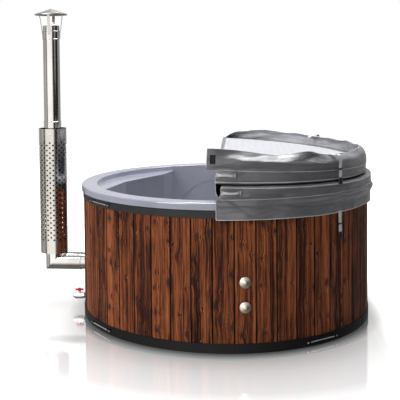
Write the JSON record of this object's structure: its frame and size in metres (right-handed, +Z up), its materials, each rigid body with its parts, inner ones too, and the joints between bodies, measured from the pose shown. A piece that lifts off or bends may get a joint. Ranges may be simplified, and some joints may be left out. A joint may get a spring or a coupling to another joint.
{
  "type": "round wood-fired hot tub",
  "caption": "Round wood-clad hot tub with a grey moulded shell, an outside flue with heat shield, a stove at the back and a folded padded cover.",
  "frame": {"origin": "on the tub's axis at floor level", "axes": "+X to the right towards the folded cover, +Y to the back, +Z up; the front is -Y"},
  "size_m": [2.392, 2.0738, 2.145],
  "materials": {
    "timber": "plain sawn softwood, unfinished",
    "cladding": "stained spruce boards with knots",
    "grp_shell": "glossy grey glass fibre",
    "pvc": "grey water pipe",
    "foam": "rigid insulating foam",
    "foam_white": "expanded polystyrene",
    "dark_band": "dark painted steel band",
    "steel": "brushed stainless steel",
    "zinc": "bright plated steel",
    "flue_steel": "smooth stainless flue steel",
    "water_steel": "welded sheet",
    "iron": "black cast iron",
    "door_paint": "heat proof dark paint",
    "brass": "turned brass",
    "black_rubber": "soft black rubber",
    "rope": "heat proof rope",
    "red_handle": "red coated lever",
    "vinyl": "grey coated cloth with a soft sheen",
    "vinyl_dark": "dark coated cloth",
    "white_lining": "white lining cloth",
    "webbing": "grey webbing with black plastic buckle"
  },
  "bodies": {
    "tub": {"base_bearers": "timber", "base_board": "timber", "timber_frame": "timber", "seat_props": "timber", "floor_insulation": "foam", "wall_insulation": "foam", "tub_shell": "grp_shell", "cladding_boards": "cladding", "top_hoop": "dark_band", "bottom_hoop": "dark_band", "hoop_bolts": "zinc", "drain_strainer": "steel", "drain_tail": "steel", "drain_pipe": "pvc", "drain_bush": "black_rubber", "valve_body": "zinc", "port_flanges": "steel", "port_gaskets": "black_rubber", "port_pipes": "pvc", "port_inlets": "steel", "stove_jacket": "water_steel", "firebox": "water_steel", "fire_grate": "iron", "stove_front_plate": "steel", "door_hinge_pins": "zinc", "heater_grilles": "steel", "flue_stub": "flue_steel", "flue_grommet": "black_rubber", "flue_elbow": "flue_steel", "flue_lower_pipe": "flue_steel", "flue_upper_pipe": "flue_steel", "cap_collar": "flue_steel", "cap_legs": "flue_steel", "cap_hat": "flue_steel", "heat_shield": "flue_steel", "shield_fixings": "zinc"},
    "cover": {"lower_foam_core": "foam_white", "lower_jacket": "vinyl", "lower_lining": "white_lining", "lower_skirt": "vinyl", "lower_handles": "webbing"},
    "upper_half": {"upper_foam_core": "foam_white", "upper_jacket": "vinyl", "upper_lining": "white_lining", "upper_skirt": "vinyl", "upper_handles": "webbing", "fold_gusset": "vinyl_dark"},
    "door": {"stove_door": "door_paint", "door_seal": "rope"},
    "latch": {"door_latch": "steel"},
    "air_control": {"air_slider": "steel"},
    "ash_tray": {"ash_drawer": "door_paint"},
    "drain_valve": {"valve_ball": "steel", "valve_handle": "red_handle"},
    "return_cap": {"return_plug": "brass"},
    "suction_cap": {"suction_plug": "brass"},
    "lower_strap_front_body": {"lower_strap_front": "webbing"},
    "lower_strap_back_body": {"lower_strap_back": "webbing"},
    "upper_strap_front_body": {"upper_strap_front": "webbing"},
    "upper_strap_back_body": {"upper_strap_back": "webbing"}
  },
  "joints": [
    {"name": "cover_lift", "type": "slide", "parent": "tub", "child": "cover", "axis": [0, 0, 1], "range_m": [0, 0.3]},
    {"name": "cover_fold", "type": "hinge", "parent": "cover", "child": "upper_half", "pos_m": [-0.017, 0, 1.01695], "axis": [0, -1, 0], "range_deg": [0, 183.14], "deforming": ["upper_skirt", "fold_gusset", "upper_strap_front", "upper_strap_back"]},
    {"name": "stove_door_hinge", "type": "hinge", "parent": "tub", "child": "door", "pos_m": [-0.75124, 0.65081, 0.496], "axis": [0, 0, -1], "range_deg": [0, 120]},
    {"name": "door_latch_turn", "type": "hinge", "parent": "door", "child": "latch", "pos_m": [-0.90291, 0.37811, 0.496], "axis": [0.866, -0.5, 0], "range_deg": [0, 90]},
    {"name": "air_slide", "type": "slide", "parent": "tub", "child": "air_control", "axis": [-0.5, -0.866, 0], "range_m": [0, 0.031]},
    {"name": "ash_drawer_slide", "type": "slide", "parent": "tub", "child": "ash_tray", "axis": [-0.866, 0.5, 0], "range_m": [0, 0.24]},
    {"name": "drain_valve_turn", "type": "hinge", "parent": "tub", "child": "drain_valve", "pos_m": [-1.04202, -0.09116, 0.085], "axis": [0, 0, 1], "range_deg": [0, 90]},
    {"name": "return_plug_out", "type": "slide", "parent": "tub", "child": "return_cap", "axis": [0.14, -0.9901, 0], "range_m": [0, 0.06]},
    {"name": "suction_plug_out", "type": "slide", "parent": "tub", "child": "suction_cap", "axis": [0.14, -0.9901, 0], "range_m": [0, 0.06]},
    {"name": "lower_strap_front_swing", "type": "hinge", "parent": "cover", "child": "lower_strap_front_body", "pos_m": [0.73429, -0.72158, 0.8223], "axis": [-0.7009, -0.7133, 0], "range_deg": [0, 75]},
    {"name": "upper_strap_front_swing", "type": "hinge", "parent": "upper_half", "child": "upper_strap_front_body", "pos_m": [0.72609, -0.71353, 1.15598], "axis": [-0.7009, -0.7133, 0], "range_deg": [0, 170]},
    {"name": "lower_strap_back_swing", "type": "hinge", "parent": "cover", "child": "lower_strap_back_body", "pos_m": [0.73405, 0.72135, 0.8223], "axis": [0.7009, -0.7133, 0], "range_deg": [0, 75]},
    {"name": "upper_strap_back_swing", "type": "hinge", "parent": "upper_half", "child": "upper_strap_back_body", "pos_m": [0.72609, 0.71353, 1.15599], "axis": [0.7009, -0.7133, 0], "range_deg": [0, 170]}
  ]
}
